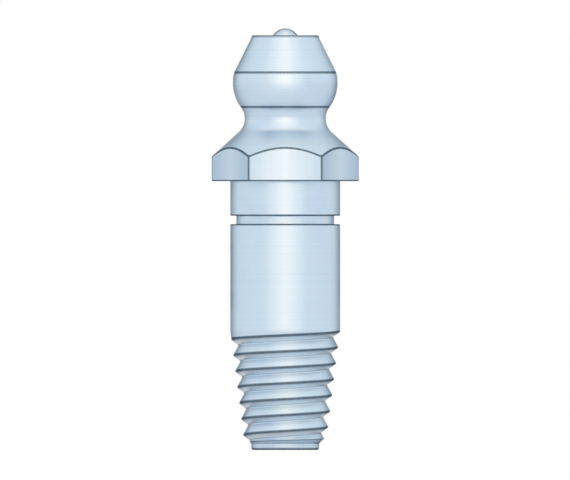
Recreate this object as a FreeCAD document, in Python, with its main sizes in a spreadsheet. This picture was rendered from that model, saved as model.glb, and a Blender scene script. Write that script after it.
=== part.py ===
"""Straight hydraulic grease nipple: turned hexagon body, check ball and valve spring.

Millimetres, +Z along the axis towards the coupler head. The origin is the centre of the hexagon's
underside, where the nipple seats on the machine. Three loose pieces: the body is turned from one
length of hexagon bar, the ball and spring go in from the head, and the rim is rolled over the ball.
"""
import FreeCAD
import Part
import Sketcher
import math
import os

# Driving dimensions. Heights are above the hexagon's underside and depths are below it.
SIZES = {
    "hexagon_across_flats": "8.0",
    "flare_half_angle": "47.8",
    "neck_diameter": "5.09",
    "neck_radius": "1.15",
    "band_height": "6.19",
    "band_rise": "0.64",
    "band_drop": "1.53",
    "band_diameter": "6.58",
    "band_radius": "2.65",
    "head_height": "9.16",
    "top_face_diameter": "4.16",
    "top_edge_round": "0.12",
    "shank_diameter": "6.9",
    "shank_length": "9.4",
    "relief_diameter": "6.14",
    "relief_depth": "2.17",
    "relief_width": "0.53",
    "stem_length": "16.88",
    "nose_diameter": "4.26",
    "nose_length": "0.40",
    "nose_edge_round": "0.15",
    "lead_chamfer_angle": "45",
    "taper_half_angle": "7.1",
    "thread_pitch": "1.0",
    "thread_depth": "0.40",
    "thread_crest": "0.06",
    "thread_upper_flank": "0.34",
    "thread_lead_in": "0.07",
    "thread_runout_rise": "0.40",
    "ball_diameter": "1.8",
    "ball_dome_height": "0.43",
    "seat_half_angle": "30",
    "ball_side_gap": "0.20",
    "fit_gap": "0.02",
    "wire_diameter": "0.25",
    "spring_side_gap": "0.15",
    "spring_live_turns": "4",
    "shoulder_height": "4.2",
    "throat_diameter": "1.2",
    "feed_diameter": "2.0",
    "feed_tip_height": "3.2",
    "drill_half_angle": "59",
    "feed_mouth_chamfer": "0.15",
    "cut_margin": "0.5",
}

# Formulas shared by the features that fit together, written in terms of the sheet's cells.
CORNER_RADIUS = "dims.hexagon_across_flats / sqrt(3)"
BALL_HEIGHT = "(dims.head_height + dims.ball_dome_height - dims.ball_diameter / 2)"
CHAMBER_RADIUS = "(dims.ball_diameter / 2 + dims.ball_side_gap)"
ORIFICE_RADIUS = (
    "((dims.ball_dome_height - dims.ball_diameter / 2"
    " + (dims.ball_diameter / 2 + dims.fit_gap) / sin(dims.seat_half_angle * 1 deg))"
    " * tan(dims.seat_half_angle * 1 deg))"
)
COIL_RADIUS = f"({CHAMBER_RADIUS} - dims.spring_side_gap - dims.wire_diameter / 2)"
SPRING_FOOT = "(dims.shoulder_height + dims.fit_gap + dims.wire_diameter / 2)"
SPRING_TOP = (
    f"({BALL_HEIGHT} - sqrt(((dims.ball_diameter + dims.wire_diameter) / 2 + dims.fit_gap)^2"
    f" - {COIL_RADIUS}^2))"
)
CLOSED_PITCH = "(dims.wire_diameter + dims.fit_gap)"
TAPER = "tan(dims.taper_half_angle * 1 deg)"
RUN_ON = "(1 + dims.thread_crest / (2 * (dims.thread_pitch - dims.thread_crest)))"


def size(alias: str) -> float:
    """One driving dimension as a number, for the starting shape of a sketch."""
    return float(SIZES[alias])


def make_sheet(doc):
    """Puts every driving dimension in a spreadsheet cell of its own name."""
    sheet = doc.addObject("Spreadsheet::Sheet", "dims")
    for row, (alias, value) in enumerate(SIZES.items(), start=1):
        sheet.set(f"A{row}", alias)
        sheet.set(f"B{row}", value)
        sheet.setAlias(f"B{row}", alias)
    doc.recompute()
    return sheet


def new_body(doc, label: str):
    """An empty body whose label is the piece's name."""
    body = doc.addObject("PartDesign::Body", label)
    body.Label = label
    return body


def origin_feature(body, role: str):
    """One plane or axis of the body's own origin."""
    return next(feature for feature in body.Origin.OriginFeatures if feature.Role == role)


def new_sketch(body, name: str, role: str = "XZ_Plane"):
    """A sketch on one of the body's origin planes; on XZ its x is the radius and its y the height."""
    sketch = body.newObject("Sketcher::SketchObject", name)
    sketch.AttachmentSupport = [(origin_feature(body, role), "")]
    sketch.MapMode = "FlatFace"
    return sketch


def bind(sketch, constraint, formula: str, name: str) -> None:
    """Adds a dimension to a sketch and binds it to a formula of the sheet's cells."""
    index = sketch.addConstraint(constraint)
    sketch.renameConstraint(index, name)
    sketch.setExpression(f"Constraints.{name}", formula)


def place_point(sketch, curve: int, end: int, radius, height, name: str) -> None:
    """Fixes one end of a curve by formulas for its radius and its height.

    None leaves that one to the neighbouring curves. "axis" and "underside" put the point on the
    sketch's own axes. A formula gives a length, so the side of the underside comes from the drawing.
    """
    point = sketch.getPoint(curve, end)
    if radius == "axis":
        sketch.addConstraint(Sketcher.Constraint("PointOnObject", curve, end, -2))
    elif radius:
        bind(sketch, Sketcher.Constraint("DistanceX", -1, 1, curve, end, point.x), radius, f"{name}_r")
    if height == "underside":
        sketch.addConstraint(Sketcher.Constraint("PointOnObject", curve, end, -1))
    elif height and point.y > 0:
        bind(sketch, Sketcher.Constraint("DistanceY", -1, 1, curve, end, point.y), height, f"{name}_up")
    elif height:
        bind(sketch, Sketcher.Constraint("DistanceY", curve, end, -1, 1, -point.y), height, f"{name}_down")


def flat(point):
    """A radius and a height as a point of a sketch."""
    return FreeCAD.Vector(point[0], point[1], 0)


def on_circle(centre, radius: float, degrees: float):
    """The point of a circle that lies at an angle from its centre, as a radius and a height."""
    angle = math.radians(degrees)
    return centre[0] + radius * math.cos(angle), centre[1] + radius * math.sin(angle)


def draw_arc(sketch, centre, radius: float, first: float, last: float) -> int:
    """Draws an arc anticlockwise from one angle to another and returns its number in the sketch."""
    circle = Part.Circle(flat(centre), FreeCAD.Vector(0, 0, 1), radius)
    return sketch.addGeometry(Part.ArcOfCircle(circle, math.radians(first), math.radians(last)), False)


def draw_line(sketch, start, end) -> int:
    """Draws a line between two points and returns its number in the sketch."""
    return sketch.addGeometry(Part.LineSegment(flat(start), flat(end)), False)


def draw_profile(sketch, corners) -> None:
    """Draws a closed outline through the named corners, straight or with quarter rounds.

    Each corner is (name, start radius, start height, radius formula, height formula). A sixth entry
    makes the stretch to the next corner a quarter round, and is the formula of its radius.
    """
    ends = []
    for index, corner in enumerate(corners):
        after = corners[(index + 1) % len(corners)]
        if len(corner) > 5:
            curve = draw_arc(sketch, (after[1], corner[2]), corner[1] - after[1], -90, 0)
            bind(sketch, Sketcher.Constraint("Radius", curve, corner[1] - after[1]), corner[5], f"{corner[0]}_round")
            ends.append((curve, 2, 1))
        else:
            ends.append((draw_line(sketch, corner[1:3], after[1:3]), 1, 2))
    for index, (curve, first, last) in enumerate(ends):
        following, following_first, _ = ends[(index + 1) % len(ends)]
        sketch.addConstraint(Sketcher.Constraint("Coincident", curve, last, following, following_first))
        place_point(sketch, curve, first, *corners[index][3:5], corners[index][0])


def lean(sketch, curve: int, degrees: float, formula: str, name: str) -> None:
    """Sets the angle between a line and the body's axis."""
    direction = sketch.Geometry[curve].EndPoint - sketch.Geometry[curve].StartPoint
    up_end = 2 if direction.y > 0 else 1
    leans_out = (direction.x > 0) == (direction.y > 0)
    angle = math.radians(90 - degrees if leans_out else 90 + degrees)
    turned = f"90 deg - {formula} * 1 deg" if leans_out else f"90 deg + {formula} * 1 deg"
    bind(sketch, Sketcher.Constraint("Angle", -1, 1, curve, 3 - up_end, angle), turned, name)


def turn(body, kind: str, name: str, sketch):
    """Revolves a profile round the axis, as added or as cut material."""
    feature = body.newObject(f"PartDesign::{kind}", name)
    feature.Profile = sketch
    feature.ReferenceAxis = (origin_feature(body, "Z_Axis"), [""])
    feature.Angle = 360
    sketch.Visibility = False
    return feature


def coil(body, kind: str, name: str, sketch, formulas: dict, downwards: bool = False):
    """Sweeps a profile along a right-hand helix round the axis."""
    feature = body.newObject(f"PartDesign::{kind}", name)
    feature.Profile = sketch
    feature.ReferenceAxis = (origin_feature(body, "Z_Axis"), [""])
    feature.Mode = "pitch-height-angle"
    feature.LeftHanded = False
    feature.Reversed = downwards
    for cell, formula in formulas.items():
        feature.setExpression(cell, formula)
    feature.HasBeenEdited = True
    sketch.Visibility = False
    return feature


def hexagon_bar(body) -> None:
    """The bar that the nipple is turned from, corners on X and flats facing Y."""
    sketch = new_sketch(body, "HexagonOutline", "XY_Plane")
    corner = size("hexagon_across_flats") / math.sqrt(3)
    ring = [
        FreeCAD.Vector(corner * math.cos(math.radians(60 * side)), corner * math.sin(math.radians(60 * side)), 0)
        for side in range(6)
    ]
    for side in range(6):
        sketch.addGeometry(Part.LineSegment(ring[side], ring[(side + 1) % 6]), False)
    circle = sketch.addGeometry(
        Part.Circle(FreeCAD.Vector(0, 0, 0), FreeCAD.Vector(0, 0, 1), corner), True
    )
    sketch.addConstraint(Sketcher.Constraint("Coincident", circle, 3, -1, 1))
    for side in range(6):
        sketch.addConstraint(Sketcher.Constraint("Coincident", side, 2, (side + 1) % 6, 1))
        sketch.addConstraint(Sketcher.Constraint("PointOnObject", side, 1, circle))
    for side in range(1, 6):
        sketch.addConstraint(Sketcher.Constraint("Equal", 0, side))
    sketch.addConstraint(Sketcher.Constraint("PointOnObject", 0, 1, -1))
    bind(sketch, Sketcher.Constraint("Radius", circle, corner), CORNER_RADIUS, "corner_radius")
    pad = body.newObject("PartDesign::Pad", "HexagonBar")
    pad.Profile = sketch
    pad.setExpression("Length", "dims.head_height")
    sketch.Visibility = False


def head_form(body) -> None:
    """Turns the coupler head, its round band, the neck and the flare out of the bar.

    The top edge is rounded into the head's cone, which runs down to the band's upper edge. The neck's arc
    starts at the band's lower edge and runs smoothly into the flare, which cuts the hexagon's corners.
    """
    sketch = new_sketch(body, "HeadOutline")
    head_height = size("head_height")
    above = head_height + size("cut_margin")
    edge = size("top_edge_round")
    band = size("band_radius")
    neck = size("neck_radius")
    band_centre = (size("band_diameter") / 2 - band, size("band_height"))
    band_top_degrees = math.degrees(math.asin(size("band_rise") / band))
    band_foot_degrees = math.degrees(math.asin(-size("band_drop") / band))
    band_top = on_circle(band_centre, band, band_top_degrees)
    band_foot = on_circle(band_centre, band, band_foot_degrees)
    neck_centre_radius = size("neck_diameter") / 2 + neck
    neck_top_degrees = math.degrees(math.acos((band_foot[0] - neck_centre_radius) / neck))
    neck_centre = (neck_centre_radius, band_foot[1] - neck * math.sin(math.radians(neck_top_degrees)))
    flare_degrees = 180 + size("flare_half_angle")
    neck_foot = on_circle(neck_centre, neck, flare_degrees)
    outside = size("hexagon_across_flats") / math.sqrt(3) + size("cut_margin")
    flare_slope = math.tan(math.radians(size("flare_half_angle")))
    flare_foot = neck_foot[1] - (outside - neck_foot[0]) / flare_slope
    head_degrees = math.degrees(
        math.atan2(band_top[0] - size("top_face_diameter") / 2, head_height - band_top[1])
    )
    rim_centre = (
        size("top_face_diameter") / 2 - edge / math.tan(math.radians(45 + head_degrees / 2)),
        head_height - edge,
    )

    rim_arc = draw_arc(sketch, rim_centre, edge, head_degrees, 90)
    cone = draw_line(sketch, on_circle(rim_centre, edge, head_degrees), band_top)
    band_arc = draw_arc(sketch, band_centre, band, band_foot_degrees, band_top_degrees)
    neck_arc = draw_arc(sketch, neck_centre, neck, neck_top_degrees, flare_degrees)
    flare = draw_line(sketch, neck_foot, (outside, flare_foot))
    wall = draw_line(sketch, (outside, flare_foot), (outside, above))
    roof = draw_line(sketch, (outside, above), (rim_centre[0], above))
    drop = draw_line(sketch, (rim_centre[0], above), (rim_centre[0], head_height))

    for first, first_end, second, second_end in (
        (cone, 2, band_arc, 2), (band_arc, 1, neck_arc, 1), (flare, 2, wall, 1), (wall, 2, roof, 1),
        (roof, 2, drop, 1), (drop, 2, rim_arc, 2),
    ):
        sketch.addConstraint(Sketcher.Constraint("Coincident", first, first_end, second, second_end))
    sketch.addConstraint(Sketcher.Constraint("Tangent", rim_arc, 1, cone, 1))
    sketch.addConstraint(Sketcher.Constraint("Tangent", neck_arc, 2, flare, 1))
    for upright in (wall, drop):
        sketch.addConstraint(Sketcher.Constraint("Vertical", upright))
    sketch.addConstraint(Sketcher.Constraint("Horizontal", roof))
    sketch.addConstraint(Sketcher.Constraint("Vertical", rim_arc, 3, drop, 2))

    bind(sketch, Sketcher.Constraint("Radius", rim_arc, edge), "dims.top_edge_round", "rim_round")
    place_point(sketch, rim_arc, 3, None, "dims.head_height - dims.top_edge_round", "rim_centre")
    top_corner = (size("top_face_diameter") / 2, head_height)
    top_face = sketch.addGeometry(Part.LineSegment(flat((0, head_height)), flat(top_corner)), True)
    place_point(sketch, top_face, 1, "axis", "dims.head_height", "top_centre")
    sketch.addConstraint(Sketcher.Constraint("Horizontal", top_face))
    place_point(sketch, top_face, 2, "dims.top_face_diameter / 2", None, "top_corner")
    sketch.addConstraint(Sketcher.Constraint("PointOnObject", top_face, 2, cone))
    place_point(sketch, roof, 2, None, "dims.head_height + dims.cut_margin", "roof")

    place_point(sketch, band_arc, 3, "dims.band_diameter / 2 - dims.band_radius", "dims.band_height", "band_centre")
    place_point(sketch, band_arc, 2, None, "dims.band_height + dims.band_rise", "band_top")
    place_point(sketch, band_arc, 1, None, "dims.band_height - dims.band_drop", "band_foot")
    bind(sketch, Sketcher.Constraint("Radius", band_arc, band), "dims.band_radius", "band_round")

    place_point(sketch, neck_arc, 3, "dims.neck_diameter / 2 + dims.neck_radius", None, "neck_centre")
    bind(sketch, Sketcher.Constraint("Radius", neck_arc, neck), "dims.neck_radius", "neck_round")
    place_point(sketch, flare, 2, f"{CORNER_RADIUS} + dims.cut_margin", None, "flare_end")
    lean(sketch, flare, size("flare_half_angle"), "dims.flare_half_angle", "flare_lean")
    turn(body, "Groove", "HeadForm", sketch)


def shank(body) -> None:
    """Adds the plain shank with its relief groove, the taper for the thread, and the end's nose."""
    sketch = new_sketch(body, "ShankOutline")
    radius = size("shank_diameter") / 2
    relief = size("relief_diameter") / 2
    relief_top = size("relief_depth")
    relief_foot = relief_top + size("relief_width")
    length = size("stem_length")
    nose = size("nose_diameter") / 2
    nose_top = length - size("nose_length")
    edge = size("nose_edge_round")
    taper_slope = math.tan(math.radians(size("taper_half_angle")))
    chamfer_slope = math.tan(math.radians(size("lead_chamfer_angle")))
    blank_at_nose = radius - taper_slope * (nose_top - size("shank_length"))
    chamfer_rise = (blank_at_nose - nose) / (chamfer_slope - taper_slope)
    foot = "dims.relief_depth + dims.relief_width"
    draw_profile(sketch, [
        ("core_top", 0, 0, "axis", "underside"),
        ("shank_top", radius, 0, "dims.shank_diameter / 2", "underside"),
        ("relief_top", radius, -relief_top, "dims.shank_diameter / 2", "dims.relief_depth"),
        ("relief_in", relief, -relief_top, "dims.relief_diameter / 2", "dims.relief_depth"),
        ("relief_out", relief, -relief_foot, "dims.relief_diameter / 2", foot),
        ("relief_foot", radius, -relief_foot, "dims.shank_diameter / 2", foot),
        ("taper_top", radius, -size("shank_length"), "dims.shank_diameter / 2", "dims.shank_length"),
        ("taper_foot", nose + chamfer_slope * chamfer_rise, chamfer_rise - nose_top, None, None),
        ("nose_top", nose, -nose_top, "dims.nose_diameter / 2", "dims.stem_length - dims.nose_length"),
        ("nose_edge", nose, edge - length, "dims.nose_diameter / 2",
         "dims.stem_length - dims.nose_edge_round", "dims.nose_edge_round"),
        ("end_face", nose - edge, -length, "dims.nose_diameter / 2 - dims.nose_edge_round", "dims.stem_length"),
        ("core_foot", 0, -length, "axis", "dims.stem_length"),
    ])
    lean(sketch, 6, size("taper_half_angle"), "dims.taper_half_angle", "taper_lean")
    lean(sketch, 7, size("lead_chamfer_angle"), "dims.lead_chamfer_angle", "chamfer_lean")
    turn(body, "Revolution", "Shank", sketch)


def thread_form(body, name: str, turn_number: int = 0):
    """The thread groove's section at the start of a turn: a V with a short upper and a long lower flank.

    The flanks run on straight past the metal, until half a crest's width is left between the turns.
    """
    sketch = new_sketch(body, name)
    taper_slope = math.tan(math.radians(size("taper_half_angle")))
    top = size("shank_length") + size("thread_lead_in") + turn_number * size("thread_pitch")
    bottom = top + size("thread_upper_flank")
    end = top + size("thread_pitch") - size("thread_crest")
    run_on = 1 + size("thread_crest") / (2 * (size("thread_pitch") - size("thread_crest")))

    def blank(depth: float) -> float:
        return size("shank_diameter") / 2 - taper_slope * (depth - size("shank_length"))

    def blank_formula(depth: str) -> str:
        return f"(dims.shank_diameter / 2 - {TAPER} * ({depth} - dims.shank_length))"

    top_formula = f"(dims.shank_length + dims.thread_lead_in + {turn_number} * dims.thread_pitch)"
    bottom_formula = f"({top_formula} + dims.thread_upper_flank)"
    end_formula = f"({top_formula} + dims.thread_pitch - dims.thread_crest)"
    root = blank(bottom) - size("thread_depth")
    root_formula = f"({blank_formula(bottom_formula)} - dims.thread_depth)"

    def mouth(label: str, crest: float, crest_formula: str) -> tuple:
        return (
            label,
            root + run_on * (blank(crest) - root),
            -bottom - run_on * (crest - bottom),
            f"{root_formula} + {RUN_ON} * ({blank_formula(crest_formula)} - {root_formula})",
            f"{bottom_formula} + {RUN_ON} * ({crest_formula} - {bottom_formula})",
        )

    draw_profile(sketch, [
        ("root", root, -bottom, root_formula, bottom_formula),
        mouth("upper_mouth", top, top_formula),
        mouth("lower_mouth", end, end_formula),
    ])
    return sketch


def thread(body) -> None:
    """Cuts the right-hand thread round the taper, turn by turn down to the nose, and its run-out.

    The groove follows the taper down. Behind its start it climbs out of the metal within part of a
    turn, as a thread die leaves it.
    """
    threaded = size("stem_length") - size("nose_length") - size("shank_length")
    turns = math.ceil((threaded - size("thread_lead_in") - size("thread_upper_flank")) / size("thread_pitch"))
    for number in range(turns):
        section = thread_form(body, f"ThreadForm{number + 1}", number)
        coil(body, "SubtractiveHelix", f"ThreadTurn{number + 1}", section, {
            "Pitch": "dims.thread_pitch",
            "Height": "dims.thread_pitch",
            "Angle": "-dims.taper_half_angle",
        }, downwards=True)
    coil(body, "SubtractiveHelix", "ThreadRunout", thread_form(body, "RunoutForm"), {
        "Pitch": "dims.thread_pitch",
        "Height": "dims.thread_runout_rise",
        "Angle": "atan((dims.thread_depth + dims.thread_crest) / dims.thread_runout_rise) / (1 deg)",
    })


def bore(body) -> None:
    """Bores the seat and the ball chamber from the head, and drills the feed hole from the end."""
    sketch = new_sketch(body, "BoreOutline")
    margin = size("cut_margin")
    ball_radius = size("ball_diameter") / 2
    seat = math.radians(size("seat_half_angle"))
    reach = size("ball_dome_height") - ball_radius + (ball_radius + size("fit_gap")) / math.sin(seat)
    orifice = reach * math.tan(seat)
    chamber = ball_radius + size("ball_side_gap")
    head = size("head_height")
    shoulder = size("shoulder_height")
    throat = size("throat_diameter") / 2
    feed = size("feed_diameter") / 2
    tip_slope = math.tan(math.radians(size("drill_half_angle")))
    length = size("stem_length")
    chamfer = size("feed_mouth_chamfer")
    draw_profile(sketch, [
        ("mouth_core", 0, -length - margin, "axis", "dims.stem_length + dims.cut_margin"),
        ("mouth", feed + chamfer + margin, -length - margin,
         "dims.feed_diameter / 2 + dims.feed_mouth_chamfer + dims.cut_margin",
         "dims.stem_length + dims.cut_margin"),
        ("feed_foot", feed, chamfer - length, "dims.feed_diameter / 2",
         "dims.stem_length - dims.feed_mouth_chamfer"),
        ("feed_top", feed, size("feed_tip_height") - (feed - throat) / tip_slope, "dims.feed_diameter / 2",
         "dims.feed_tip_height - (dims.feed_diameter - dims.throat_diameter) / 2"
         " / tan(dims.drill_half_angle * 1 deg)"),
        ("throat_foot", throat, size("feed_tip_height"), "dims.throat_diameter / 2", "dims.feed_tip_height"),
        ("throat_top", throat, shoulder, "dims.throat_diameter / 2", "dims.shoulder_height"),
        ("shoulder", chamber, shoulder, CHAMBER_RADIUS, "dims.shoulder_height"),
        ("chamber_top", chamber, head - (chamber - orifice) / math.tan(seat), CHAMBER_RADIUS,
         f"dims.head_height - ({CHAMBER_RADIUS} - {ORIFICE_RADIUS}) / tan(dims.seat_half_angle * 1 deg)"),
        ("orifice", orifice, head, ORIFICE_RADIUS, "dims.head_height"),
        ("orifice_air", orifice, head + margin, ORIFICE_RADIUS, "dims.head_height + dims.cut_margin"),
        ("top_core", 0, head + margin, "axis", "dims.head_height + dims.cut_margin"),
    ])
    turn(body, "Groove", "Bore", sketch)


def nipple_body(doc):
    """The one-piece turned body."""
    body = new_body(doc, "nipple_body")
    hexagon_bar(body)
    head_form(body)
    shank(body)
    thread(body)
    bore(body)
    return body


def check_ball(doc):
    """The hardened ball, standing out of the top face by the height of its dome."""
    body = new_body(doc, "check_ball")
    sketch = new_sketch(body, "BallOutline")
    radius = size("ball_diameter") / 2
    height = size("head_height") + size("ball_dome_height") - radius
    centre = FreeCAD.Vector(0, height, 0)
    circle = Part.Circle(centre, FreeCAD.Vector(0, 0, 1), radius)
    arc = sketch.addGeometry(Part.ArcOfCircle(circle, -math.pi / 2, math.pi / 2), False)
    axis = sketch.addGeometry(
        Part.LineSegment(FreeCAD.Vector(0, height + radius, 0), FreeCAD.Vector(0, height - radius, 0)), False
    )
    sketch.addConstraint(Sketcher.Constraint("Coincident", arc, 2, axis, 1))
    sketch.addConstraint(Sketcher.Constraint("Coincident", arc, 1, axis, 2))
    sketch.addConstraint(Sketcher.Constraint("PointOnObject", axis, 1, -2))
    place_point(sketch, arc, 3, "axis", BALL_HEIGHT, "ball_centre")
    bind(sketch, Sketcher.Constraint("Radius", arc, radius), "dims.ball_diameter / 2", "ball_round")
    sketch.addConstraint(Sketcher.Constraint("PointOnObject", axis, 2, -2))
    turn(body, "Revolution", "Ball", sketch)
    return body


def wire_section(body, name: str, formula: str, height: float):
    """The round section of the spring's wire, at a height on the coil's radius."""
    sketch = new_sketch(body, name)
    wire = size("wire_diameter") / 2
    coil_radius = size("ball_diameter") / 2 + size("ball_side_gap") - size("spring_side_gap") - wire
    circle = sketch.addGeometry(
        Part.Circle(FreeCAD.Vector(coil_radius, height, 0), FreeCAD.Vector(0, 0, 1), wire), False
    )
    place_point(sketch, circle, 3, COIL_RADIUS, formula, "wire_centre")
    bind(sketch, Sketcher.Constraint("Radius", circle, wire), "dims.wire_diameter / 2", "wire_round")
    return sketch


def valve_spring(doc):
    """The compression spring: a closed turn at each end and the live turns between them."""
    body = new_body(doc, "valve_spring")
    foot = size("shoulder_height") + size("fit_gap") + size("wire_diameter") / 2
    closed = size("wire_diameter") + size("fit_gap")
    top = size("head_height") - 1.1
    live_height = f"{SPRING_TOP} - {SPRING_FOOT} - 2 * {CLOSED_PITCH}"
    turns = (
        ("Foot", SPRING_FOOT, foot, CLOSED_PITCH, CLOSED_PITCH),
        ("Live", f"{SPRING_FOOT} + {CLOSED_PITCH}", foot + closed,
         f"({live_height}) / dims.spring_live_turns", live_height),
        ("Crown", f"{SPRING_TOP} - {CLOSED_PITCH}", top - closed, CLOSED_PITCH, CLOSED_PITCH),
    )
    for name, start, height, pitch, rise in turns:
        section = wire_section(body, f"{name}Wire", start, height)
        coil(body, "AdditiveHelix", f"{name}Turns", section, {"Pitch": pitch, "Height": rise})
    return body


def finish(doc, pieces) -> None:
    """Recomputes, makes sure that every feature came out whole, and writes one file per piece."""
    doc.recompute()
    os.makedirs("parts", exist_ok=True)
    for feature in doc.Objects:
        if "Invalid" in feature.State or "Error" in feature.State:
            raise RuntimeError(f"{feature.Label} did not build: {feature.State}")
    for piece in pieces:
        shape = piece.Shape
        if shape.isNull() or not shape.isValid() or len(shape.Solids) != 1:
            raise RuntimeError(f"{piece.Label} is not one valid solid")
        shape.exportStep(f"parts/{piece.Label}.step")
        print(f"{piece.Label}: {shape.Volume:.2f} cubic mm")


def main() -> None:
    """Builds the nipple's three pieces."""
    doc = FreeCAD.newDocument("grease_nipple")
    make_sheet(doc)
    pieces = [nipple_body(doc), check_ball(doc), valve_spring(doc)]
    finish(doc, pieces)


main()
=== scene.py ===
"""A straight grease nipple with a tapered thread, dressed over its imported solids.

The nipple is turned from hexagon bar, zinc plated and blue passivated. A ball check sits in its head
on a small spring. Sizes are in millimetres and turn to metres where a mesh is made.
"""

import logging
import math
from dataclasses import asdict, dataclass, field
from enum import Enum

import bmesh
import bpy
import numpy as np
from bpy.types import ID, Material, Mesh, Node, NodeSocket, NodeTree, Object
from mathutils import Matrix


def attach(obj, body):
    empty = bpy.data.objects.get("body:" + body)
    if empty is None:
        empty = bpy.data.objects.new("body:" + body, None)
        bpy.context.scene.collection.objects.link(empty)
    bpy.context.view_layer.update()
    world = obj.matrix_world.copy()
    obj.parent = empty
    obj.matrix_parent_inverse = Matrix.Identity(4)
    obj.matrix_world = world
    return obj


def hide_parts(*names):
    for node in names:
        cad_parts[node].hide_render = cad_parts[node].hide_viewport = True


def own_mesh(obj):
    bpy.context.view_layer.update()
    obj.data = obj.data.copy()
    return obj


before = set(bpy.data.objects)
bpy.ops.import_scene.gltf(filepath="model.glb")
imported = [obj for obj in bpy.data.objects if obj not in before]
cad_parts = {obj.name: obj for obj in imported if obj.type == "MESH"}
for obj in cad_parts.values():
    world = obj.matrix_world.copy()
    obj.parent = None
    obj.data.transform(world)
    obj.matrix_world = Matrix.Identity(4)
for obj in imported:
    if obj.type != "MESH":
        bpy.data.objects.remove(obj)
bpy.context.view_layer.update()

LOG = logging.getLogger("grease_nipple")
MM = 0.001
TAU = 2 * math.pi
SIXTH = math.pi / 3
SAME_PLACE_MM = 0.0004
# How the sums of the node trees write their operations, and the steps that keep a value between 0 and 1.
SIGNS = {"+": "ADD", "-": "SUBTRACT", "*": "MULTIPLY", "/": "DIVIDE", "<": "LESS_THAN"}
LIMITED = (("MAXIMUM", 0.0), ("MINIMUM", 1.0))
COLOURS = {"data_type": "RGBA"}
# Nearly all of a noise lies between these two values.
NOISE_SPAN = {"From_Min": 0.3, "From_Max": 0.7}
Feed = Node | NodeSocket


class Slot(Enum):
    """The record's material slots."""

    ZINC = "zinc_plated_steel"
    BALL_STEEL = "hardened_steel"
    SPRING_STEEL = "spring_steel"


class Body(Enum):
    """The bodies that the pieces ride on."""

    FITTING = "fitting"
    BALL = "ball"


def srgb(hex_colour: str) -> tuple[float, float, float, float]:
    """Turns an sRGB hex colour into linear red, green, blue and full alpha.

    Args:
        hex_colour: six hex digits, with or without a leading hash.

    Returns:
        The linear colour as four numbers.
    """
    digits = hex_colour.lstrip("#")
    channels = [int(digits[start:start + 2], 16) / 255 for start in (0, 2, 4)]
    linear = [c / 12.92 if c <= 0.04045 else ((c + 0.055) / 1.055) ** 2.4 for c in channels]
    return (linear[0], linear[1], linear[2], 1.0)


def add(tree: NodeTree, kind: str, settings: dict | None = None, **links: object) -> Node:
    """Adds a node with its settings and what feeds its inputs.

    Args:
        tree: the node tree that gets the node.
        kind: the node's type name.
        settings: node properties to set, by name.
        **links: what each input gets. The key is the input's name with underscores for spaces, or i and
            its number. The value is a plain value, an output socket, or a node, which gives its first
            output in use.

    Returns:
        The new node.
    """
    node = tree.nodes.new(kind)
    for name, value in (settings or {}).items():
        setattr(node, name, value)
    for key, value in links.items():
        if key[0] == "i" and key[1:].isdigit():
            target = node.inputs[int(key[1:])]
        else:
            label = key.replace("_", " ")
            target = next(socket for socket in node.inputs if socket.enabled and socket.name == label)
        if isinstance(value, Node):
            value = next(socket for socket in value.outputs if socket.enabled)
        if isinstance(value, NodeSocket):
            tree.links.new(value, target)
        else:
            target.default_value = value
    return node


def new_material(name: str) -> tuple[Material, NodeTree]:
    """Makes a material with an empty node tree.

    Args:
        name: the material's name.

    Returns:
        The material and its tree.
    """
    material = bpy.data.materials.new(name)
    material.use_nodes = True
    material.node_tree.nodes.clear()
    return material, material.node_tree


@dataclass(frozen=True)
class SurfaceAxes:
    """Round coordinates of a turned piece, read from its Object coordinates, in millimetres."""

    radius: Feed
    height: Feed
    vector: Feed

    @classmethod
    def of(cls, tree: NodeTree) -> "SurfaceAxes":
        """Builds the nodes that work out the distance from the axis and the height.

        Args:
            tree: the material's node tree.

        Returns:
            What gives the radius, the height and the scaled position.
        """
        place = add(tree, "ShaderNodeTexCoord").outputs["Object"]
        vector = add(tree, "ShaderNodeVectorMath", {"operation": "SCALE"}, Vector=place, Scale=1 / MM)
        parts = add(tree, "ShaderNodeSeparateXYZ", Vector=vector).outputs
        across = add(tree, "ShaderNodeCombineXYZ", X=parts["X"], Y=parts["Y"])
        radius = add(tree, "ShaderNodeVectorMath", {"operation": "LENGTH"}, Vector=across)
        return cls(radius, parts["Z"], vector)


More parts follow.
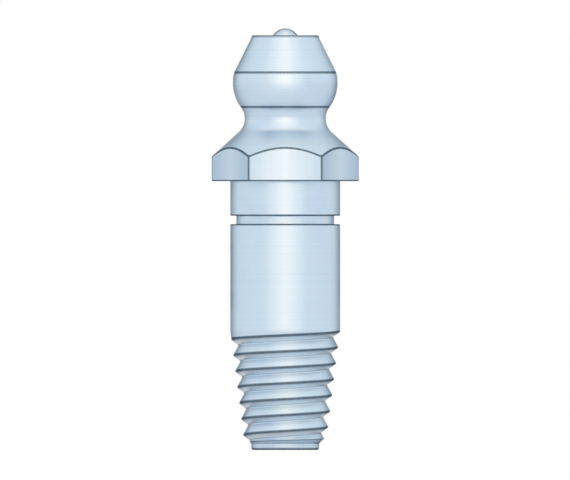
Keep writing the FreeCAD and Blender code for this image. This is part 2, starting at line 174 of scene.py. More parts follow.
@dataclass(frozen=True)
class BluePassivatedZinc:
    """Bright zinc plate with a clear blue passivate, over turned free-cutting steel.

    The eye sees a pale blue metal: the film of passivate shifts a little towards violet and straw over
    millimetres, the tool's fine feed lines stay visible under it, and the bar's flats keep their drawn
    streaks. Painted shade gives the edges and thread crests a dark blue grey line and darkens each flat
    towards its corners, and painted light brightens the thread's upper flank.
    """

    plate: str = "#C9DEEE"
    violet_film: str = "#C7DAEE"
    straw_film: str = "#CCE0EC"
    burnt_edge: str = "#475D6D"
    rolled_flank: str = "#F8FAFB"
    flat_side: str = "#AEC8DE"
    grazing_tone: str = "#30475A"
    flank_grazing_tone: str = "#A3BCCF"
    roughness: float = 0.30
    feed_line_mm: float = 0.16
    drawn_line_mm: float = 0.22
    film_patch_mm: float = 3.2
    grain_mm: float = 0.12
    flat_middle_mm: float = 4.0
    flat_corner_mm: float = 4.62
    relief_mm: float = 0.006
    film_stops: tuple[float, float, float] = (0.32, 0.5, 0.70)
    flank_gain: float = 1.6
    side_curve: float = 0.55
    line_roughness: float = 0.10
    streak_squeeze: float = 0.06

    def make(self) -> Material:
        """Builds the material.

        Returns:
            The material, with one Principled shader.
        """
        material, tree = new_material("blue_passivated_zinc")
        axes = SurfaceAxes.of(tree)
        marks = {
            name: add(tree, "ShaderNodeAttribute", {"attribute_name": name}).outputs["Fac"]
            for name in ("edge", "groove", "drawn", "faced", "rolled", "lay")
        }
        # The film's thickness drifts over a few millimetres, which shifts its tint.
        drift = add(tree, "ShaderNodeTexNoise", Vector=axes.vector, Scale=1 / self.film_patch_mm, Detail=3.0,
                    Roughness=0.55)
        # The plate's own grain is a few hundredths of a millimetre; it is drawn coarser, so that it shows.
        grain = add(tree, "ShaderNodeTexNoise", Vector=axes.vector, Scale=1 / self.grain_mm, Detail=2.0,
                    Roughness=0.5)
        lines = self.tool_lines(tree, axes, marks)
        patchy = add(tree, "ShaderNodeMapRange", Value=grain, **NOISE_SPAN, To_Min=0.86)
        # Painted shade: edges and thread crests get a dark blue grey line, broken up a little by the grain.
        burn = add(tree, "ShaderNodeMath", {"operation": "MULTIPLY", "use_clamp": True}, i0=marks["edge"],
                   i1=patchy)
        film = self.film(tree, axes, marks["drawn"], drift)
        edged = add(tree, "ShaderNodeMix", COLOURS, Factor=burn, A=film, B=srgb(self.burnt_edge))
        # Painted light: the thread's short upper flank faces down into shade, and it is painted brighter
        # by the overhang's depth.
        painted_light_share = add(tree, "ShaderNodeMath", {"operation": "MULTIPLY", "use_clamp": True},
                        i0=marks["groove"], i1=self.flank_gain)
        toned = add(tree, "ShaderNodeMix", COLOURS, Factor=painted_light_share, A=edged, B=srgb(self.rolled_flank))
        line_tone = add(tree, "ShaderNodeMapRange", Value=lines, **NOISE_SPAN, To_Min=0.96, To_Max=1.02)
        colour = add(tree, "ShaderNodeVectorMath", {"operation": "SCALE"}, Vector=toned, Scale=line_tone)
        # The same painted light lightens the upper flank's grazing tone.
        glance = add(tree, "ShaderNodeMix", COLOURS, Factor=painted_light_share, A=srgb(self.grazing_tone),
                     B=srgb(self.flank_grazing_tone))
        blotch = add(tree, "ShaderNodeMapRange", Value=drift, **NOISE_SPAN, To_Min=self.roughness - 0.05,
                     To_Max=self.roughness + 0.06)
        rough = add(tree, "ShaderNodeMath", {"operation": "MULTIPLY_ADD"}, i0=lines, i1=self.line_roughness,
                    i2=blotch)
        grooves = add(tree, "ShaderNodeBump", Strength=0.16, Distance=self.relief_mm * MM, Height=lines)
        relief = add(tree, "ShaderNodeBump", Strength=0.10, Distance=self.relief_mm * MM, Height=grain,
                     Normal=grooves)
        shader = add(tree, "ShaderNodeBsdfPrincipled", Base_Color=colour, Metallic=1.0, Roughness=rough,
                     Normal=relief, Specular_Tint=glance, Coat_Weight=0.25, Coat_Roughness=0.22)
        add(tree, "ShaderNodeOutputMaterial", Surface=shader)
        return material

    def film(self, tree: NodeTree, axes: SurfaceAxes, drawn: Feed, drift: Feed) -> Node:
        """Colours the plate with its film of passivate, and paints shade on each flat towards its corners.

        Args:
            tree: the material's node tree.
            axes: the piece's round coordinates.
            drawn: how much a place belongs to the bar's flats.
            drift: how thick the film is.

        Returns:
            The node that gives the colour away from edges and thread.
        """
        film = add(tree, "ShaderNodeValToRGB", Fac=drift)
        stops = film.color_ramp.elements
        stops.new(self.film_stops[1])
        tones = (self.violet_film, self.plate, self.straw_film)
        for stop, position, tone in zip(stops, self.film_stops, tones):
            stop.position = position
            stop.color = srgb(tone)
        # Painted shade: each flat darkens towards its corners, which leaves a painted highlight down its
        # middle.
        aside = add(tree, "ShaderNodeMapRange", Value=axes.radius, From_Min=self.flat_middle_mm,
                    From_Max=self.flat_corner_mm)
        evened = add(tree, "ShaderNodeMath", {"operation": "POWER"}, i0=aside, i1=self.side_curve)
        flat_shade_share = add(tree, "ShaderNodeMath", {"operation": "MULTIPLY"}, i0=evened, i1=drawn)
        return add(tree, "ShaderNodeMix", COLOURS, Factor=flat_shade_share, A=film, B=srgb(self.flat_side))

    def tool_lines(self, tree: NodeTree, axes: SurfaceAxes, marks: dict[str, Feed]) -> Node:
        """Draws the marks that turning, facing, threading and bar drawing leave.

        Args:
            tree: the material's node tree.
            axes: the piece's round coordinates.
            marks: what each place belongs to, by attribute name.

        Returns:
            The node that gives the height of the lines, between 0 and 1.
        """
        # Feed lines run round the axis, so they only change with height, with radius on faced ends, and
        # with the place across the groove on the thread.
        along = add(tree, "ShaderNodeMix", Factor=marks["faced"], A=axes.height, B=axes.radius)
        around = add(tree, "ShaderNodeMix", Factor=marks["rolled"], A=along, B=marks["lay"])
        feed_at = add(tree, "ShaderNodeCombineXYZ", Z=around)
        feed = add(tree, "ShaderNodeTexNoise", Vector=feed_at, Scale=1 / self.feed_line_mm, Detail=2.0,
                   Roughness=0.6)
        # The bar was drawn through a die, which leaves streaks along the axis on its flats.
        streak_at = add(tree, "ShaderNodeVectorMath", {"operation": "MULTIPLY"}, i0=axes.vector,
                        i1=(1.0, 1.0, self.streak_squeeze))
        streak = add(tree, "ShaderNodeTexNoise", Vector=streak_at, Scale=1 / self.drawn_line_mm, Detail=2.0,
                     Roughness=0.6)
        return add(tree, "ShaderNodeMix", Factor=marks["drawn"], A=feed, B=streak)


@dataclass(frozen=True)
class LappedBallSteel:
    """Hardened chrome steel, ground and lapped to a bearing ball.

    The eye sees a small bright mirror with hair-fine lapping scratches, a touch greyer than the plate.
    """

    steel: str = "#C5D6E2"
    scratch: str = "#B4C5D1"
    grazing_tone: str = "#2C4254"
    roughness: float = 0.16
    scratch_roughness: float = 0.12
    scratch_mm: float = 0.18
    relief_mm: float = 0.003

    def make(self) -> Material:
        """Builds the material.

        Returns:
            The material, with one Principled shader.
        """
        material, tree = new_material("lapped_ball_steel")
        axes = SurfaceAxes.of(tree)
        # Lapping scratches are a micrometre wide; these are drawn coarser, so that they show.
        twisted = add(tree, "ShaderNodeMapping", Vector=axes.vector, Rotation=(0.5, 0.9, 0.3),
                      Scale=(1.0, 0.12, 1.0))
        scratches = add(tree, "ShaderNodeTexNoise", Vector=twisted, Scale=1 / self.scratch_mm, Detail=4.0,
                        Roughness=0.7)
        sharp = add(tree, "ShaderNodeMapRange", Value=scratches, From_Min=0.55, From_Max=0.72)
        colour = add(tree, "ShaderNodeMix", COLOURS, Factor=sharp, A=srgb(self.steel), B=srgb(self.scratch))
        rough = add(tree, "ShaderNodeMath", {"operation": "MULTIPLY_ADD"}, i0=sharp,
                    i1=self.scratch_roughness, i2=self.roughness)
        bump = add(tree, "ShaderNodeBump", Strength=0.05, Distance=self.relief_mm * MM, Height=scratches)
        shader = add(tree, "ShaderNodeBsdfPrincipled", Base_Color=colour, Metallic=1.0, Roughness=rough,
                     Normal=bump, Specular_Tint=srgb(self.grazing_tone))
        add(tree, "ShaderNodeOutputMaterial", Surface=shader)
        return material


@dataclass(frozen=True)
class DrawnSpringWire:
    """Patented carbon steel wire, drawn bright and coiled cold.

    The eye sees a darker, satin grey wire with die lines along it and a brown-grey haze of coiling soap.
    """

    wire: str = "#9AA0A6"
    haze: str = "#807C78"
    roughness: float = 0.25
    line_roughness: float = 0.18
    line_mm: float = 0.03
    haze_mm: float = 0.6
    relief_mm: float = 0.004

    def make(self) -> Material:
        """Builds the material.

        Returns:
            The material, with one Principled shader.
        """
        material, tree = new_material("drawn_spring_wire")
        axes = SurfaceAxes.of(tree)
        # Die lines follow the wire, so on a coil they only change with radius and height.
        across = add(tree, "ShaderNodeCombineXYZ", X=axes.radius, Z=axes.height)
        lines = add(tree, "ShaderNodeTexNoise", Vector=across, Scale=1 / self.line_mm, Detail=2.0,
                    Roughness=0.6)
        haze = add(tree, "ShaderNodeTexNoise", Vector=axes.vector, Scale=1 / self.haze_mm, Detail=3.0,
                   Roughness=0.6)
        spread = add(tree, "ShaderNodeMapRange", Value=haze, From_Min=0.45, From_Max=0.75, To_Max=0.8)
        colour = add(tree, "ShaderNodeMix", COLOURS, Factor=spread, A=srgb(self.wire), B=srgb(self.haze))
        rough = add(tree, "ShaderNodeMath", {"operation": "MULTIPLY_ADD"}, i0=lines,
                    i1=self.line_roughness, i2=self.roughness)
        bump = add(tree, "ShaderNodeBump", Strength=0.2, Distance=self.relief_mm * MM, Height=lines)
        shader = add(tree, "ShaderNodeBsdfPrincipled", Base_Color=colour, Metallic=1.0, Roughness=rough,
                     Normal=bump)
        add(tree, "ShaderNodeOutputMaterial", Surface=shader)
        return material


def open_tree(name: str, takes: str, sizes: dict[str, float], gives: str) -> tuple[NodeTree, dict[str, Feed]]:
    """Starts a Geometry Nodes tree with its named inputs.

    Args:
        name: the tree's name.
        takes: the name of the geometry that it takes.
        sizes: its sizes by name; a whole number makes a whole-number input.
        gives: the name of the geometry that it gives.

    Returns:
        The tree, and what its inputs give, by name.
    """
    tree = bpy.data.node_groups.new(name, "GeometryNodeTree")
    face = tree.interface
    face.new_socket(takes, in_out="INPUT", socket_type="NodeSocketGeometry")
    for label, value in sizes.items():
        kind = "NodeSocketInt" if isinstance(value, int) else "NodeSocketFloat"
        face.new_socket(label, in_out="INPUT", socket_type=kind).default_value = value
    face.new_socket("Material", in_out="INPUT", socket_type="NodeSocketMaterial")
    face.new_socket(gives, in_out="OUTPUT", socket_type="NodeSocketGeometry")
    return tree, {socket.name: socket for socket in add(tree, "NodeGroupInput").outputs if socket.name}


def close_tree(tree: NodeTree, made: Feed, material: Feed) -> None:
    """Ends a Geometry Nodes tree in real geometry that carries its material.

    Args:
        tree: the tree to end.
        made: what gives the finished geometry.
        material: what gives the material.
    """
    real = add(tree, "GeometryNodeRealizeInstances", Geometry=made)
    dressed = add(tree, "GeometryNodeSetMaterial", Geometry=real, Material=material)
    add(tree, "NodeGroupOutput", i0=dressed)


def run_tree(thing: Object, tree: NodeTree, values: dict) -> Mesh:
    """Runs a node tree on an object and gives the result as a plain mesh.

    Args:
        thing: the object that gets the tree as a modifier, which is removed again.
        tree: the tree to run.
        values: the modifier's inputs by name.

    Returns:
        The finished mesh.
    """
    modifier = thing.modifiers.new(tree.name, "NODES")
    modifier.node_group = tree
    for item in tree.interface.items_tree:
        if item.item_type == "SOCKET" and item.in_out == "INPUT" and item.name in values:
            modifier[item.identifier] = values[item.name]
    graph = bpy.context.evaluated_depsgraph_get()
    graph.update()
    mesh = bpy.data.meshes.new_from_object(thing.evaluated_get(graph), depsgraph=graph)
    thing.modifiers.remove(modifier)
    return mesh


def new_object(name: str, data: ID) -> Object:
    """Makes an object and links it into the scene.

    Args:
        name: the object's name.
        data: its mesh, lamp or camera.

    Returns:
        The object, at the origin.
    """
    thing = bpy.data.objects.new(name, data)
    bpy.context.scene.collection.objects.link(thing)
    return thing


def as_piece(name: str, mesh: Mesh, material: Material) -> Object:
    """Turns a mesh in mm into an object in metres at the origin, smooth and dressed.

    Args:
        name: the piece's name.
        mesh: its mesh, in mm.
        material: its one material.

    Returns:
        The object, linked into the scene.
    """
    mesh.transform(Matrix.Scale(MM, 4))
    mesh.materials.clear()
    mesh.materials.append(material)
    mesh.polygons.foreach_set("material_index", [0] * len(mesh.polygons))
    mesh.shade_smooth()
    mesh.name = name
    return new_object(name, mesh)


def on_arc(centre: tuple[float, float], radius: float, degrees: float) -> tuple[float, float]:
    """The place on an arc at an angle from outward towards up, as radius and height in mm."""
    angle = math.radians(degrees)
    return (centre[0] + radius * math.cos(angle), centre[1] + radius * math.sin(angle))


@dataclass
class Outline:
    """The half outline of a turned piece, as rows that hold one place for each column round the axis.

    A row may have its own radius and height in each column, so that it can follow a curved edge such as
    the one where a flare cuts a hexagon.
    """

    columns: int
    rows: list[np.ndarray] = field(default_factory=list)
    marks: list[dict[str, float]] = field(default_factory=list)
    corners: list[bool] = field(default_factory=list)
    share_to_corner: float = 0.24
    share_to_row: float = 0.45
    fullness: float = 0.42
    support: float = 1.9

    def put(self, radius: float | np.ndarray, height: float | np.ndarray, corner: bool = True,
            **marks: float) -> None:
        """Adds a row.

        Args:
            radius: distance from the axis in mm, one number or one for each column.
            height: height in mm, one number or one for each column.
            corner: whether the row is a sharp corner, which softened() breaks.
            **marks: attribute values that the row carries, and a broken corner's edge value, which sets how
                     dark its painted shade line is.
        """
        row = np.empty((self.columns, 2))
        row[:, 0] = radius
        row[:, 1] = height
        self.rows.append(row)
        self.marks.append(marks)
        self.corners.append(corner)

    def bend(self, centre: tuple[float, float], radius: float, start: float, end: float, steps: int,
             clear: float = 0.0, **marks: float) -> None:
        """Adds the rows of an arc, without its two ends.

        Args:
            centre: the arc's centre as radius and height, in mm.
            radius: the arc's radius in mm.
            start: its first angle in degrees, from outward towards up.
            end: its last angle in degrees.
            steps: the number of stretches that it is divided into.
            clear: how close a row may come to the arc's ends, in mm along it.
            **marks: attribute values that the rows carry.
        """
        length = radius * math.radians(abs(end - start))
        for step in range(1, steps):
            if min(step, steps - step) * length / steps >= clear:
                self.put(*on_arc(centre, radius, start + (end - start) * step / steps), False, **marks)

    def softened(self, width: float) -> "Outline":
        """Breaks the sharp corners, as tumbling and plating do.

        A corner becomes a small rounded edge of three rows with a supporting row each side, so that the
        faces next to it stay flat in shading.

        Args:
            width: the size of the broken edge in mm.

        Returns:
            The outline with its corners broken.
        """
        made = Outline(self.columns)
        count = len(self.rows)
        for index, (points, marks) in enumerate(zip(self.rows, self.marks)):
            if not self.corners[index]:
                made.rows.append(points)
                made.marks.append(marks)
                continue
            cuts = []
            for other in ((index - 1) % count, (index + 1) % count):
                way = self.rows[other] - points
                length = np.linalg.norm(way, axis=1, keepdims=True)
                share = self.share_to_corner if self.corners[other] else self.share_to_row
                cuts.append(way / np.maximum(length, 1e-9) * np.minimum(width, length * share))
            back, ahead = cuts
            first, last = points + back, points + ahead
            top = points + ((first + last) / 2 - points) * self.fullness
            edged = dict(marks, edge=marks.get("burn", 1.0))
            made.rows += [points + back * self.support, first, top, last, points + ahead * self.support]
            made.marks += [marks, edged, edged, edged, marks]
        return made


@dataclass
class TaperThread:
    """The right-hand tapered thread: a V groove with a short upper and a long lower flank.

    Its groove climbs out of the metal within part of a turn, as a thread die leaves it. The overhang's
    two sizes are shares of the pitch, and early lines are widths of the crest's line.
    """

    pitch: float = 1.0
    depth: float = 0.40
    crest: float = 0.06
    upper_flank: float = 0.34
    lead_in: float = 0.07
    runout_rise: float = 0.40
    taper_degrees: float = 7.1
    blank_radius: float = 3.45
    blank_foot: float = -9.40
    root_round: float = 0.09
    crest_round: float = 0.03
    crest_line: float = 0.055
    early_lines: float = 2.5
    exit_line: float = 0.04
    overhang_end: float = 0.03
    overhang_fade: float = 0.04
    marked_depth: float = 0.05
    no_groove: float = 10.0

    # Each sum starts from its first term and takes one step after another. A capitalised term is an
    # input of the tree, and the turned ones are the blank's own marks.
    SUMS = {
        "around": ("y", ("ARCTAN2", "x"), ("/", TAU), ("+", 1.0), ("FRACT",)),
        # Turns are counted down from the groove's start. Their share is the place between two crests.
        "turns": ("Blank Foot", ("-", "Lead In"), ("-", "z"), ("/", "Pitch"), ("+", "around")),
        "share": ("turns", ("+", 4.0), ("FRACT",)),
        "root": ("Upper Flank", ("/", "Pitch")),
        "crest": ("Crest", ("/", "Pitch")),
        "end": (1.0, ("-", "crest")),
        "long_flank": ("end", ("-", "root")),
        "upper": ("share", ("/", "root"), ("*", "Depth")),
        "lower": ("end", ("-", "share"), ("/", "long_flank"), ("*", "Depth")),
        # In its first turn the groove climbs out of the metal, and above that there is none.
        "rise": ("Runout Rise", ("/", "Pitch")),
        "full": ("Depth", ("+", "Crest")),
        "lift": ("around", ("/", "rise"), ("*", "full")),
        "lifted": ("turns", ("<", 1.0), ("*", "lift")),
        "away": ("turns", ("<", 0.0), ("*", "No Groove")),
        "vee": ("upper", ("SMOOTH_MIN", "lower", "Root Round")),
        "deep": ("vee", ("-", "lifted"), ("-", "away"), ("SMOOTH_MAX", 0.0, "Crest Round")),
        # The blank narrows downwards, and the groove is cut into that cone.
        "slope": ("Taper Degrees", ("RADIANS",), ("TANGENT",)),
        "narrower": ("Blank Foot", ("-", "z"), ("*", "slope")),
        "grooved": ("Blank Radius", ("-", "narrower"), ("-", "deep")),
        "gain": ("radius", ("MINIMUM", "grooved"), ("/", "radius")),
        "new_x": ("x", ("*", "gain")),
        "new_y": ("y", ("*", "gain")),
        # The overhang is the upper flank, and its mark ends a little before the root.
        "overhang": ("root", ("-", "Overhang End"), ("-", "share"), ("/", "Overhang Fade"), *LIMITED),
        "hanging": ("overhang", ("*", "turned_threaded")),
        # The groove mark is where the finish paints light on the upper flank.
        "groove": ("deep", ("/", "Depth"), ("*", "hanging")),
        # Tool marks follow the groove, so the lay is the distance from the nearest crest's middle.
        "middle": ("end", ("+", 1.0), ("/", 2.0)),
        "wrapped": ("share", ("-", "middle"), ("+", 1.5), ("FRACT",)),
        "lay": ("wrapped", ("-", 0.5), ("ABSOLUTE",), ("*", "Pitch")),
        "lines_off": ("lay", ("/", "Crest Line")),
        "line": (2.0, ("-", "lines_off"), *LIMITED),
        # A crest belongs to the groove under it, so it shows its line a little before that starts.
        "early": ("Crest Line", ("/", "Pitch"), ("*", "Early Lines"), ("+", "turns")),
        "risen": ("early", ("<", 1.0), ("*", "lift")),
        "lost": ("early", ("<", 0.0), ("*", "No Groove"), ("+", "risen"), ("/", "Depth")),
        "present": (1.0, ("-", "lost"), *LIMITED),
        # The groove also leaves an edge where it runs out through the lead chamfer.
        "exits_off": ("radius", ("-", "grooved"), ("ABSOLUTE",), ("/", "Exit Line")),
        "leaving": (1.5, ("-", "exits_off"), *LIMITED),
        "shown": ("present", ("*", "turned_threaded")),
        # The edge mark is where the finish paints its dark shade line.
        "edge": ("line", ("MAXIMUM", "leaving"), ("*", "shown"), ("MAXIMUM", "turned_edge")),
        "rolled": ("deep", ("/", "Marked Depth"), *LIMITED, ("*", "turned_threaded")),
    }

    def row_phases(self) -> list[float]:
        """Places the rows within one pitch, closer at crests and roots.

        Returns:
            The rows' places as shares of the pitch.
        """
        root = self.upper_flank / self.pitch
        end = 1 - self.crest / self.pitch
        by_root = [root + step for step in (-0.08, -0.05, -0.025, 0.0, 0.025, 0.05, 0.08, 0.15, 0.26, 0.38)]
        return [0.0, 0.025, 0.06, 0.13, 0.21, *by_root, end - 0.09, end - 0.04, end, (1 + end) / 2]

    def inputs(self) -> dict[str, float]:
        """The tree's named inputs: each of the thread's sizes, under its own name."""
        return {name.replace("_", " ").title(): size for name, size in asdict(self).items()}

    def tree(self) -> NodeTree:
        """Builds the node tree that cuts the groove into a turned blank.

        Returns:
            A tree that moves each threaded point in to the groove and sets the material. It stores what
            the finish reads: the overhang's depth as groove, where the finish paints light on the upper flank,
            the places of the painted shade lines along edges and crests as edge, the cut flanks as rolled,
            and the distance from the nearest crest in mm as lay.
        """
        tree, known = open_tree("TaperThreadCut", "Blank", self.inputs(), "Threaded")
        place = add(tree, "GeometryNodeInputPosition")
        known["x"], known["y"], known["z"] = add(tree, "ShaderNodeSeparateXYZ", Vector=place).outputs
        flat = add(tree, "ShaderNodeCombineXYZ", X=known["x"], Y=known["y"])
        known["radius"] = add(tree, "ShaderNodeVectorMath", {"operation": "LENGTH"}, Vector=flat)
        for name in ("threaded", "edge"):
            known[f"turned_{name}"] = add(tree, "GeometryNodeInputNamedAttribute", Name=name)

        for name, (first, *steps) in self.SUMS.items():
            known[name] = known.get(first, first)
            # Each step adds a node, which works on what the step before it gave.
            for sign, *terms in steps:
                fed = {f"i{number}": known.get(term, term) for number, term in enumerate(terms, 1)}
                settings = {"operation": SIGNS.get(sign, sign)}
                known[name] = add(tree, "ShaderNodeMath", settings, i0=known[name], **fed)

        made = known["Blank"]
        for name in ("groove", "edge", "rolled", "lay"):
            made = add(tree, "GeometryNodeStoreNamedAttribute", Geometry=made, Name=name, Value=known[name])
        inside = add(tree, "FunctionNodeCompare", A=known["turned_threaded"], B=0.5)
        moved = add(tree, "ShaderNodeCombineXYZ", X=known["new_x"], Y=known["new_y"], Z=known["z"])
        made = add(tree, "GeometryNodeSetPosition", Geometry=made, Selection=inside, Position=moved)
        close_tree(tree, made, known["Material"])
        return tree


@dataclass
class NippleBody:
    """The turned body: coupler head, neck, hexagon, shank, tapered thread and the bores inside."""

    across_flats: float = 8.0
    flare_half_angle: float = 47.8
    neck_diameter: float = 5.09
    neck_radius: float = 1.15
    band_height: float = 6.19
    band_rise: float = 0.64
    band_drop: float = 1.53
    band_diameter: float = 6.58
    band_radius: float = 2.65
    head_height: float = 9.16
    top_face_diameter: float = 4.16
    top_edge_round: float = 0.12
    shank_diameter: float = 6.9
    relief_diameter: float = 6.14
    relief_depth: float = 2.17
    relief_width: float = 0.53
    stem_length: float = 16.88
    nose_diameter: float = 4.26
    nose_length: float = 0.40
    nose_edge_round: float = 0.15
    orifice_radius: float = 0.791
    chamber_radius: float = 1.1
    chamber_middle: float = 6.4
    chamber_top: float = 8.625
    shoulder_height: float = 4.2
    throat_diameter: float = 1.2
    feed_diameter: float = 2.0
    feed_tip_height: float = 3.2
    feed_mouth_chamfer: float = 0.15
    drill_half_angle: float = 59.0
    corner_round: float = 0.05
    edge_break: float = 0.055
    edge_clear: float = 0.14
    corner_line_degrees: float = 0.9
    corner_line_fullness: float = 1.4
    shank_rows_end: float = -8.8
    thread_rows_start: float = -9.0
    feed_rows_start: float = -15.5
    flare_rows: tuple[float, ...] = (0.25, 0.5, 0.75, 0.93)
    band_steps: int = 26
    neck_steps: int = 24
    edge_steps: int = 5
    plain_rows: int = 8
    chamfer_steps: int = 20
    even_columns: int = 240
    corner_columns: tuple[float, ...] = (-1.0, -0.72, -0.5, -0.25, 0.25, 0.5, 0.72, 1.0)
    thread: TaperThread = field(default_factory=TaperThread)

    def __post_init__(self) -> None:
        """Spaces the columns evenly round the axis, with a few more close to each hexagon corner."""
        even = np.arange(self.even_columns) * TAU / self.even_columns
        close = [math.radians(60 * corner + step) for corner in range(6) for step in self.corner_columns]
        every = np.unique(np.round(np.mod(np.concatenate([even, close]), TAU), 9))
        self.angles = np.append(every[every < TAU - 1e-6], TAU)
        self.from_corner = np.mod(self.angles + SIXTH / 2, SIXTH) - SIXTH / 2

    def hexagon_radius(self) -> np.ndarray:
        """Works out the distance from the axis to the hexagon's side, with its corners slightly rounded.

        Returns:
            The distance in each column, in mm.
        """
        from_corner = self.from_corner
        flat = self.across_flats / 2 / np.cos(SIXTH / 2 - np.abs(from_corner))
        centre = (self.across_flats / 2 - self.corner_round) / math.cos(SIXTH / 2)
        inside = self.corner_round**2 - (centre * np.sin(from_corner))**2
        rounded = centre * np.cos(from_corner) + np.sqrt(np.maximum(inside, 0))
        touch = math.atan2(self.corner_round / 2, centre + self.corner_round * math.cos(SIXTH / 2))
        return np.where(np.abs(from_corner) < touch, rounded, flat)

    def outline(self) -> Outline:
        """Draws the closed outline, down the outside from the grease hole and up through the bores.

        Returns:
            The outline with its corners broken.
        """
        drawing = Outline(len(self.angles))
        self.draw_hexagon(drawing, *self.draw_head(drawing))
        self.draw_shank(drawing)
        self.draw_threaded_end(drawing)
        self.draw_bores(drawing)
        return drawing.softened(self.edge_break)

    def draw_head(self, drawing: Outline) -> tuple[float, float]:
        """Draws the top face, the rim, the cone, the round band and the neck.

        Args:
            drawing: the outline to add to.

        Returns:
            The radius and height of the neck's foot, where the flare starts.
        """
        put, bend = drawing.put, drawing.bend
        band_centre = (self.band_diameter / 2 - self.band_radius, self.band_height)
        band_top = math.degrees(math.asin(self.band_rise / self.band_radius))
        band_foot = -math.degrees(math.asin(self.band_drop / self.band_radius))
        band_top_at = on_arc(band_centre, self.band_radius, band_top)
        band_foot_at = on_arc(band_centre, self.band_radius, band_foot)
        neck_out = self.neck_diameter / 2 + self.neck_radius
        neck_top = math.degrees(math.acos((band_foot_at[0] - neck_out) / self.neck_radius))
        neck_centre = (neck_out, band_foot_at[1] - self.neck_radius * math.sin(math.radians(neck_top)))
        neck_foot = 180 + self.flare_half_angle
        flare_top = on_arc(neck_centre, self.neck_radius, neck_foot)
        face = self.top_face_diameter / 2
        lean = math.degrees(math.atan2(band_top_at[0] - face, self.head_height - band_top_at[1]))
        rim_centre = (
            face - self.top_edge_round / math.tan(math.radians(45 + lean / 2)),
            self.head_height - self.top_edge_round,
        )
        rim_foot = on_arc(rim_centre, self.top_edge_round, lean)

        put(self.orifice_radius, self.head_height, burn=0.7, faced=1.0)
        put(rim_centre[0] - self.top_edge_round, self.head_height, False, faced=1.0)
        put(rim_centre[0], self.head_height, False, faced=1.0)
        bend(rim_centre, self.top_edge_round, 90, lean, self.edge_steps, edge=0.9)
        put(*rim_foot, False, edge=0.7)
        put(rim_foot[0] + 0.05 * math.sin(math.radians(lean)), rim_foot[1] - 0.1, False)
        put(*band_top_at, burn=0.9)
        bend(band_centre, self.band_radius, band_top, band_foot, self.band_steps, self.edge_clear)
        put(*band_foot_at, burn=0.9)
        bend(neck_centre, self.neck_radius, neck_top, neck_foot, self.neck_steps, self.edge_clear)
        put(*flare_top, False)
        return flare_top

    def draw_hexagon(self, drawing: Outline, top: float, height: float) -> None:
        """Draws the flare, the curved edge that it cuts, the flats and the hexagon's underside.

        Args:
            drawing: the outline to add to.
            top: the radius where the flare starts, in mm.
            height: the height where it starts, in mm.
        """
        put = drawing.put
        side = self.hexagon_radius()
        cut_height = height - (side - top) / math.tan(math.radians(self.flare_half_angle))
        for share in self.flare_rows:
            put(top + (side - top) * share, height + (cut_height - height) * share, False)
        put(side, cut_height, drawn=1.0)
        put(side, cut_height / 2, False, drawn=1.0)
        put(side, 0.0, drawn=1.0)
        put(self.shank_diameter / 2 + 0.5, 0.0, False, faced=1.0)

    def draw_shank(self, drawing: Outline) -> None:
        """Draws the plain shank with its relief groove.

        Args:
            drawing: the outline to add to.
        """
        put = drawing.put
        shank, relief = self.shank_diameter / 2, self.relief_diameter / 2
        relief_foot = -self.relief_depth - self.relief_width
        put(shank, 0.0, burn=0.0)
        put(shank, -self.relief_depth)
        put(relief, -self.relief_depth, burn=0.0)
        put(relief, relief_foot, burn=0.0)
        put(shank, relief_foot)
        for height in np.linspace(relief_foot - 0.4, self.shank_rows_end, self.plain_rows):
            put(shank, height, False)

    def draw_threaded_end(self, drawing: Outline) -> None:
        """Draws the taper with rows that follow the thread, the lead chamfer and the nose.

        Args:
            drawing: the outline to add to.
        """
        put, bend = drawing.put, drawing.bend
        thread = self.thread
        shank, nose = self.shank_diameter / 2, self.nose_diameter / 2
        taper = math.tan(math.radians(thread.taper_degrees))
        nose_top = self.nose_length - self.stem_length
        chamfer = (shank - taper * (thread.blank_foot - nose_top) - nose) / (1 - taper)
        top, foot = self.thread_rows_start, nose_top + chamfer
        start = thread.blank_foot - thread.lead_in
        climb = thread.pitch * self.angles / TAU
        first_turn = math.floor((start - top) / thread.pitch) - 1
        last_turn = math.ceil((start + thread.pitch - foot) / thread.pitch) + 1
        put(shank, top, False, threaded=1.0)
        for number in range(first_turn, last_turn):
            for phase in thread.row_phases():
                height = np.clip(start + climb - (number + phase) * thread.pitch, foot, top)
                cone = shank - taper * (thread.blank_foot - height)
                put(np.minimum(cone, shank), height, False, threaded=1.0)
        put(shank - taper * (thread.blank_foot - foot), foot, False, threaded=1.0)
        for share in np.linspace(0.0, 1.0, self.chamfer_steps + 1)[1:-1]:
            put(nose + chamfer * (1 - share), foot - chamfer * share, False, threaded=1.0)
        edge_centre = (nose - self.nose_edge_round, self.nose_edge_round - self.stem_length)
        put(nose, nose_top, False, edge=0.3)
        put(nose, nose_top - 0.05, False)
        put(nose, edge_centre[1], False)
        bend(edge_centre, self.nose_edge_round, 0, -90, self.edge_steps, edge=0.7)
        put(edge_centre[0], -self.stem_length, False, faced=1.0)

    def draw_bores(self, drawing: Outline) -> None:
        """Draws the feed hole with its drill tip, the throat and the ball chamber.

        Args:
            drawing: the outline to add to.
        """
        put = drawing.put
        feed, throat = self.feed_diameter / 2, self.throat_diameter / 2
        tip_start = self.feed_tip_height - (feed - throat) / math.tan(math.radians(self.drill_half_angle))
        put(feed + self.feed_mouth_chamfer, -self.stem_length, burn=0.6, faced=1.0)
        put(feed, self.feed_mouth_chamfer - self.stem_length, burn=0.4)
        for height in np.linspace(self.feed_rows_start, tip_start - 0.5, self.plain_rows):
            put(feed, height, False)
        put(feed, tip_start, burn=0.0)
        put(throat, self.feed_tip_height, burn=0.0)
        put(throat, self.shoulder_height, burn=0.0)
        put(self.chamber_radius, self.shoulder_height, burn=0.0)
        put(self.chamber_radius, self.chamber_middle, False)
        put(self.chamber_radius, self.chamber_top, burn=0.0)

